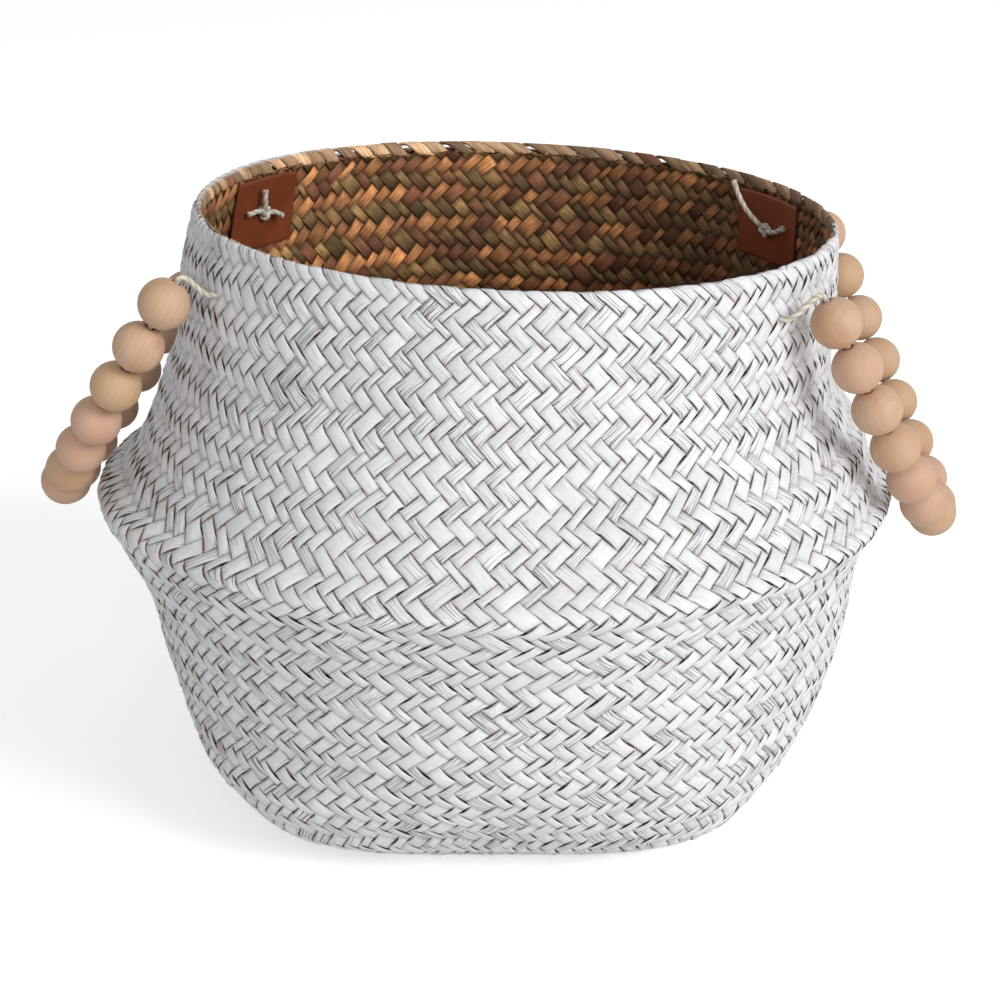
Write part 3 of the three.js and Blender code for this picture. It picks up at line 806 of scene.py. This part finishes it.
def resample(points, spacing):
    """The same line with points at about an even spacing, its own points among them."""
    pieces = [np.linspace(a, b, math.ceil(np.linalg.norm(b - a) / spacing), endpoint=False)
              for a, b in zip(points[:-1], points[1:])]
    return np.concatenate([*pieces, points[-1:]])


def rope(line, radius, across):
    """A three-ply rope along a line: at angle a round it and length s along it, its radius is
    R (1 - g + g |cos 1.5 (a - 2 pi s / lay)|), g being the groove's share. Gives a grid of points
    and how deep in a groove each lies."""
    tangent = unit(np.gradient(line, axis=0))
    side = unit(np.cross(tangent, across))
    third = np.cross(tangent, side)
    length = np.concatenate([[0], np.cumsum(np.linalg.norm(np.diff(line, axis=0), axis=1))])
    turn = full_turn(18)
    lobe = np.abs(np.cos(1.5 * (turn[None, :] - 2 * np.pi * length[:, None] / ROPE_LAY)))
    reach = np.broadcast_to(radius, len(line))[:, None] * (1 - ROPE_GROOVE + ROPE_GROOVE * lobe)
    points = (line[:, None] + side[:, None] * (reach * np.cos(turn))[..., None]
              + third[:, None] * (reach * np.sin(turn))[..., None])
    return points[None], 1 - lobe[None]


# Operators

class BASKET_OT_weave(bpy.types.Operator):
    """Weaves the wall and the base."""

    bl_idname = "basket.weave"
    bl_label = "Weave the wall and base"

    def execute(self, context):
        sizes = context.scene.basket_sizes
        olive = sedge_material("Olive sedge", sizes.olive_sedge, sizes.whitewash, 0.2)
        rust = sedge_material("Rust sedge", sizes.rust_sedge, sizes.whitewash, 0.3)
        replaced = {"right_front": ["lower_wall"], "right_back": ["belly_flare"],
                    "left_front": ["neck_wall"], "left_back": []}
        half = STRIPS // 2
        for family, material in (("right", olive), ("left", rust)):
            for first, word in ((0, "front"), (half, "back")):
                strips = weave_strips(family, first, half, sizes)
                piece = add_tubes(f"{family}_climbing_strips_{word}", *strips, material,
                                  family == "left")
                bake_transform(piece)
                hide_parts(*replaced[f"{family}_{word}"])
            base = add_tubes(f"base_{family}_strips", *flat_strips(family, sizes), material,
                             family == "right")
            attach(base, "basket")
            if family == "right":
                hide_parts("woven_base")
        return {"FINISHED"}


class BASKET_OT_rim(bpy.types.Operator):
    """Binds the strips' ends inside the rim. A wrap is part of a small oval, D cos a inward and
    H sin a upward from its middle, that moves round the rim by its slant as it goes."""

    bl_idname = "basket.rim"
    bl_label = "Bind the rim"

    def execute(self, context):
        spacing = 2 * np.pi / WRAPS
        half_width, slant, thickness, crown, sink = 0.52, 1.2, 1.2, 1.5, 0.7
        run = np.linspace(0, 1, 14)[None, :, None]
        own = np.arange(WRAPS)[:, None, None]
        even = own * spacing
        middle = even + WRAP_CROWDING * np.sin(even + WRAP_CROWDING_TURN)
        spacing = spacing * (1 + WRAP_CROWDING * np.cos(even + WRAP_CROWDING_TURN))
        far = far_share(middle)
        across, through, _ = STRIP_SECTION.T
        chance = np.random.default_rng(31).uniform(-1, 1, (WRAPS, 4))[:, :, None, None]
        width = half_width * spacing * (1 + 0.14 * chance[:, 0])
        sway = spacing * (0.1 * chance[:, 1] - (slant + 0.3 * chance[:, 2]) * run)
        azimuth = middle + sway + width * across
        bulge = through * thickness + crown * (1 - across ** 2) - sink + 0.25 * chance[:, 3]
        angle = np.radians(68 + 200 * run) - FAR_WRAP_TURN * far * (1 - run)
        high = (BASKET_HEIGHT - WRAP_MIDDLE_DROP + (WRAP_HALF_HEIGHT + bulge) * np.sin(angle)
                + FAR_WRAP_RISE * far)
        deep = WRAP_MIDDLE_DEPTH - (WRAP_HALF_DEPTH + bulge) * np.cos(angle) - FAR_WRAP_REACH * far
        sizes = context.scene.basket_sizes
        rim_sedge = sedge_material("Rim sedge", sizes.rim_sedge, sizes.whitewash, 0.12)
        rim_radius = outer_radius(np.full_like(azimuth, BASKET_HEIGHT), azimuth)
        points = place(rim_radius - deep, high, azimuth)
        along, beside = 0.2 + 1.6 * run + 2 * own, own + 0.5 + UV_HALF_WIDTH * across
        uv = np.stack(np.broadcast_arrays(along, beside), axis=-1)
        # paint runs over the rim at the left and fades inward
        washed = (0.62 * np.clip(-np.cos(azimuth + 0.4), 0, 1) ** 2
                  * np.clip(1.6 - 2.4 * run, 0, 1))
        carried = {"outer": np.zeros(azimuth.shape), "paint": washed}
        rim = add_tubes("rim_wraps", points, uv, carried, rim_sedge, inside_out=True)
        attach(rim, "neck")
        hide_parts("rim_edge")
        return {"FINISHED"}


class BASKET_OT_beads(bpy.types.Operator):
    """Turns the beads, each round its own axis, with a bore and a grain of its own."""

    bl_idname = "basket.beads"
    bl_label = "Make the beads"

    def execute(self, context):
        sizes = context.scene.handle_sizes
        material = wood_material(sizes.bead_wood)
        radius, bore = sizes.bead_diameter / 2 / MM, sizes.bead_bore / 2 / MM
        rings, mouth_ease, bore_ease = 25, 0.1, 0.35
        mouth = math.asin((bore + mouth_ease) / radius)
        arc = np.linspace(mouth, np.pi - mouth, rings)
        outline = np.stack([radius * np.sin(arc), -radius * np.cos(arc)], axis=-1)
        reach = radius * math.cos(mouth) - bore_ease
        outline = np.concatenate([outline, [[bore, reach], [bore, 0], [bore, -reach]]])
        hollow = np.concatenate([np.zeros(rings), np.ones(3)])
        turn = full_turn(40)
        for number, joint in enumerate(j for j in frame["joints"] if j["name"].startswith("spin_")):
            name = joint["child"]
            centre = np.array(joint["pos_m"]) / MM
            axis = unit(np.array(joint["axis"], float))
            aslant = (0.3, 0.5, 0.8)
            side = unit(np.cross(axis, aslant))
            third = np.cross(axis, side)
            out, up = outline[:, :1], outline[:, 1:]
            local = np.broadcast_arrays(out * np.cos(turn), out * np.sin(turn), up)
            local = np.stack(local, axis=-1)
            points = centre + local[..., :1] * side + local[..., 1:2] * third + local[..., 2:] * axis
            faces = ring_faces(*points.shape[:2])
            spread = np.random.default_rng(100 + number).uniform(-1, 1, 3)
            skew = np.array([0.2, 0.25, 0.2]) * spread
            tilt = np.array([[1, skew[0], 0], [0, 1, skew[1]], [skew[2], 0, 1]])
            grain = np.moveaxis(local @ tilt.T * MM, -1, 0)
            carried = {f"grain_{letter}": values for letter, values in zip("xyz", grain)}
            carried["bead"] = np.full(local.shape[:2], number * 0.731 + 0.2)
            carried["bore"] = np.broadcast_to(hollow[:, None], local.shape[:2])
            bead = add_mesh(f"{name}_turned", points, faces, None, carried, material)
            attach(bead, name)
            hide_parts(name)
        return {"FINISHED"}


class BASKET_OT_cords(bpy.types.Operator):
    """Lays both handle cords through their beads, with their knotted ends."""

    bl_idname = "basket.cords"
    bl_label = "Lay the cords"

    def execute(self, context):
        sizes = context.scene.handle_sizes
        cotton = cotton_material(sizes.cotton)
        radius = sizes.cord_diameter / 2 / MM
        for side in ("left", "right"):
            route = handle_route(side)
            ends = [self.cord_end(f"{side}_front", side, route, radius, cotton),
                    self.cord_end(f"{side}_rear", side, route[::-1], radius, cotton)]
            even = resample(route, ROPE_SPACING)
            plane = np.cross(route[BEADS // 2] - route[0], route[-1] - route[0])
            points, groove = rope(even, radius, plane)
            cord = add_tubes(f"{side}_laid_cord", points, None, {"groove": groove}, cotton)
            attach(cord, f"{side}_handle")
            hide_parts(f"{side}_handle_cord")
        return {"FINISHED"}

    def cord_end(self, name, side, route, radius, cotton):
        """One knotted end: the lead from bead to wall, the way on through the patch, a trefoil knot
        (sin t + 2 sin 2t, cos t - 2 cos 2t, sin 3t), and tails."""
        azimuth, tails = CORD_ENDS[name]
        azimuth = math.radians(azimuth)
        out = np.array([math.cos(azimuth), math.sin(azimuth), 0])
        round_wall = np.array([-math.sin(azimuth), math.cos(azimuth), 0])
        up = np.array([0, 0, 1.0])
        hole = wall_point(np.array(HOLE_HEIGHT), np.array(azimuth), 0.0)
        mouth, inner = route[:2]
        into = unit(inner - mouth)
        seat = WALL_THICKNESS + WALL_SEAT_GAP + PATCH_THICKNESS
        loop_radius, knot_lift, from_wall, from_bead, overlap = 0.9 * radius, 1.2, 10, 9, 0.1
        knot = hole - out * (seat + loop_radius + knot_lift)

        parts = []
        t = np.linspace(0, 1, 26)[:, None]
        bend = [hole, hole + out * from_wall, mouth - into * from_bead, mouth + into * overlap]
        lead = ((1 - t) ** 3 * bend[0] + 3 * t * (1 - t) ** 2 * bend[1]
                + 3 * t ** 2 * (1 - t) * bend[2] + t ** 3 * bend[3])
        inside = knot + (hole - knot) * np.linspace(0, 1, 8)[:-1, None]
        parts.append(rope(np.concatenate([inside, lead]), radius, round_wall))

        t = np.linspace(0, 2 * np.pi, 72)[:, None]
        loops = round_wall * (np.sin(t) + 2 * np.sin(2 * t)) + up * (np.cos(t) - 2 * np.cos(2 * t))
        loops = knot + KNOT_REACH / 3 * loops - out * KNOT_DEPTH * np.sin(3 * t)
        parts.append(rope(loops, loop_radius, out))

        # each tail starts within the knot, sags to one side, lifts off the patch and frays
        start, sag_share, lift, fray = 0.12, 0.09, 1.2, 0.22
        for number, (along, rise, depth) in enumerate(tails):
            tip = along * round_wall + rise * up - depth * out
            beside = np.cross(unit(tip), out)
            t = np.linspace(start, 1, 24)[:, None]
            sag = beside * sag_share * np.linalg.norm(tip) * np.sin(np.pi * t) * (-1) ** number
            line = knot + tip * t + sag - out * lift * np.sin(np.pi * t)
            flare = 1 + fray * np.clip((t[:, 0] - 0.86) / 0.1, 0, 1)
            parts.append(rope(line, radius * flare, out))

        points = np.concatenate([part[0].reshape(-1, 3) for part in parts])
        groove = np.concatenate([part[1].ravel() for part in parts])
        firsts = np.cumsum([0] + [part[1].size for part in parts])
        faces = np.concatenate([tube_faces(*part[0].shape[:3]) + number
                                for part, number in zip(parts, firsts)])
        end = add_mesh(f"{name}_knotted_end", points, faces, None, {"groove": groove}, cotton)
        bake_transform(end)
        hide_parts(f"{name}_cord_end")
        return end


class BASKET_OT_patches(bpy.types.Operator):
    """Cuts the four leather patches."""

    bl_idname = "basket.patches"
    bl_label = "Cut the patches"

    def execute(self, context):
        sizes = context.scene.handle_sizes
        leather = leather_material(sizes.leather)
        clearance = 0.3
        hole = sizes.cord_diameter / 2 / MM + clearance
        turn = full_turn(144)
        circle = np.stack([np.cos(turn), np.sin(turn)], axis=-1)
        # a circle's points pushed out to the four corners, and so a rectangle with round corners
        half = np.array([PATCH_WIDTH, PATCH_HEIGHT]) / 2 - PATCH_CORNER
        border = np.clip(1.6 * circle, -1, 1) * half + PATCH_CORNER * circle
        centre = hole * circle
        # from the hole's inner edge over the seen face, round the border and back behind
        shares = np.array([0, 0, 0.02, 0.3, 0.6, 0.9, 0.985, 1, 1, 0.985, 0.5])
        depths = PATCH_THICKNESS * np.array([0.1, 0.85, 1, 1, 1, 1, 1, 0.75, 0.2, 0, 0])
        flat = centre + (border - centre) * shares[:, None, None]
        for name, (azimuth, _) in CORD_ENDS.items():
            inner = outer_radius(np.array(HOLE_HEIGHT), np.radians(azimuth)) - WALL_THICKNESS
            around = np.radians(azimuth) - flat[..., 0] / inner
            lift = 0.25 * (np.abs(flat[..., 0]) / half[0]) ** 6
            outward = -(WALL_THICKNESS + WALL_SEAT_GAP + depths[:, None] + lift)
            points = wall_point(HOLE_HEIGHT + flat[..., 1], around, outward)
            faces = ring_faces(*points.shape[:2])
            patch = add_mesh(f"{name}_tanned_patch", points, faces[..., ::-1], None, {}, leather)
            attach(patch, "neck")
            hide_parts(f"{name}_leather_patch")
        return {"FINISHED"}


class BASKET_OT_stage(bpy.types.Operator):
    """Sets the floor, the soft light and the camera."""

    bl_idname = "basket.stage"
    bl_label = "Set the stage"

    def execute(self, context):
        scene, sizes = context.scene, context.scene.stage_sizes
        s = Shader("Pale floor", roughness=0.9, specular=0.1)
        seen = s.node("ShaderNodeLightPath").outputs["Is Camera Ray"]
        s.join(s.surface, {"Base Color": (*sizes.floor_colour, 1.0), "Emission Color": (1, 1, 1, 1),
                           "Emission Strength": s.times(seen, sizes.floor_glow)})
        left, right, near, far = -4000, 4000, -3000, 5000
        corners = [[left, near, 0], [right, near, 0], [right, far, 0], [left, far, 0]]
        floor = add_mesh("floor", corners, [[0, 1, 2, 3]], None, {}, s.material)

        world = bpy.data.worlds.new("Even light")
        scene.world = world
        world.use_nodes = True
        w = Nodes(world.node_tree)
        rays = w.node("ShaderNodeLightPath").outputs
        seen = w.math("MAXIMUM", rays["Is Camera Ray"], rays["Is Glossy Ray"])
        strength = w.node("ShaderNodeMapRange", {"Value": seen, "To Min": sizes.fill_strength,
                                                 "To Max": 1.0})
        w.join(w.tree.nodes["Background"], {"Color": (1, 1, 1, 1),
                                            "Strength": strength.outputs["Result"]})

        for name, (position, aim, size, share) in LAMPS.items():
            light = bpy.data.lights.new(name, "AREA")
            light.size = size
            light.energy = sizes.key_power * share
            lamp = bpy.data.objects.new(name, light)
            lamp.location = position
            direction = Vector((0, 0, aim)) - Vector(position)
            lamp.rotation_euler = direction.to_track_quat("-Z", "Y").to_euler()
            scene.collection.objects.link(lamp)

        camera = bpy.data.cameras.new("camera")
        camera.sensor_width = CAMERA_SENSOR
        camera.lens = CAMERA_LENS
        camera.clip_end = 50
        view = bpy.data.objects.new("camera", camera)
        view.location = CAMERA_PLACE
        view.rotation_euler = (math.radians(90 - CAMERA_DIP), 0, 0)
        scene.collection.objects.link(view)
        scene.camera = view
        scene.view_settings.view_transform = "Standard"
        return {"FINISHED"}


class BASKET_PT_panel(bpy.types.Panel):
    """Shows the sizes, and the steps that build the basket."""

    bl_label = "Belly basket"
    bl_idname = "BASKET_PT_panel"
    bl_space_type = "VIEW_3D"
    bl_region_type = "UI"
    bl_category = "Basket"

    def draw(self, context):
        for group in GROUPS:
            sizes = getattr(context.scene, group)
            for key in sizes.__annotations__:
                self.layout.prop(sizes, key)
        for operator in OPERATORS:
            self.layout.operator(operator.bl_idname)


GROUPS = {"basket_sizes": BasketSizes, "handle_sizes": HandleSizes, "stage_sizes": StageSizes}
OPERATORS = (BASKET_OT_stage, BASKET_OT_cords, BASKET_OT_beads, BASKET_OT_patches, BASKET_OT_weave,
             BASKET_OT_rim)
CLASSES = (*GROUPS.values(), *OPERATORS, BASKET_PT_panel)


def register():
    """Makes the groups, operators and panel known."""
    for cls in CLASSES:
        bpy.utils.register_class(cls)
    for key, group in GROUPS.items():
        setattr(bpy.types.Scene, key, bpy.props.PointerProperty(type=group))


def unregister():
    """Takes them away again."""
    for key in GROUPS:
        delattr(bpy.types.Scene, key)
    for cls in reversed(CLASSES):
        bpy.utils.unregister_class(cls)


def main():
    """Makes every piece in order."""
    register()
    bpy.ops.basket.stage()
    bpy.ops.basket.cords()
    bpy.ops.basket.beads()
    bpy.ops.basket.patches()
    bpy.ops.basket.weave()
    bpy.ops.basket.rim()


if __name__ == "__main__":
    main()
